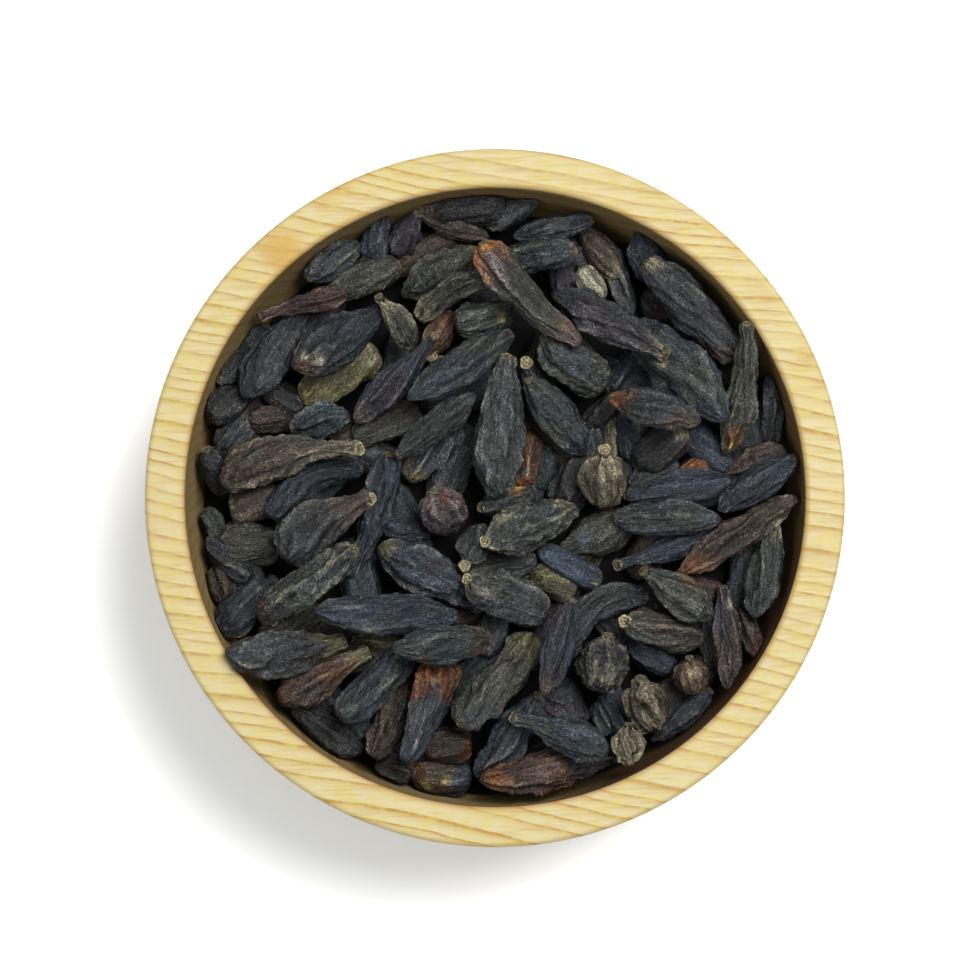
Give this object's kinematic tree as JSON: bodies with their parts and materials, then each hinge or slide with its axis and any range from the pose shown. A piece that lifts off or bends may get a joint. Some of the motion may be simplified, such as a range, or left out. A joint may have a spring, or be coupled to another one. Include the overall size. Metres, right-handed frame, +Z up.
{
  "type": "bowl of black myrobalan",
  "caption": "Round turned wooden bowl heaped with dried unripe myrobalan fruits, wrinkled, pointed or pear-shaped and nearly black.",
  "frame": {"origin": "middle of the bowl's flat foot", "axes": "+Z up along the bowl's axis; +Y to the top of the picture and +X to its right"},
  "size_m": [0.14, 0.14, 0.0573],
  "materials": {
    "wood": "pale pine with yellow growth lines, satin",
    "fruit": "dried wrinkled skin, nearly black, matt to satin",
    "bed": "dried wrinkled skin in shadow, nearly black"
  },
  "bodies": {
    "root": {"bowl": "wood", "fruit_bed": "bed", "fruit_01": "fruit", "fruit_02": "fruit", "fruit_03": "fruit", "fruit_04": "fruit", "fruit_05": "fruit", "fruit_06": "fruit", "fruit_07": "fruit", "fruit_08": "fruit", "fruit_09": "fruit", "fruit_10": "fruit", "fruit_11": "fruit", "fruit_12": "fruit", "fruit_13": "fruit", "fruit_14": "fruit", "fruit_15": "fruit", "fruit_16": "fruit", "fruit_17": "fruit", "fruit_18": "fruit", "fruit_19": "fruit", "fruit_20": "fruit", "fruit_21": "fruit", "fruit_22": "fruit", "fruit_23": "fruit", "fruit_24": "fruit", "fruit_25": "fruit", "fruit_26": "fruit", "fruit_27": "fruit", "fruit_28": "fruit", "fruit_29": "fruit", "fruit_30": "fruit", "fruit_31": "fruit", "fruit_32": "fruit", "fruit_33": "fruit", "fruit_34": "fruit", "fruit_35": "fruit", "fruit_36": "fruit", "fruit_37": "fruit", "fruit_38": "fruit", "fruit_39": "fruit", "fruit_40": "fruit", "fruit_41": "fruit", "fruit_42": "fruit", "fruit_43": "fruit", "fruit_44": "fruit", "fruit_45": "fruit", "fruit_46": "fruit", "fruit_47": "fruit", "fruit_48": "fruit", "fruit_49": "fruit", "fruit_50": "fruit", "fruit_51": "fruit", "fruit_52": "fruit", "fruit_53": "fruit", "fruit_54": "fruit", "fruit_55": "fruit", "fruit_56": "fruit", "fruit_57": "fruit", "fruit_58": "fruit"}
  },
  "joints": []
}
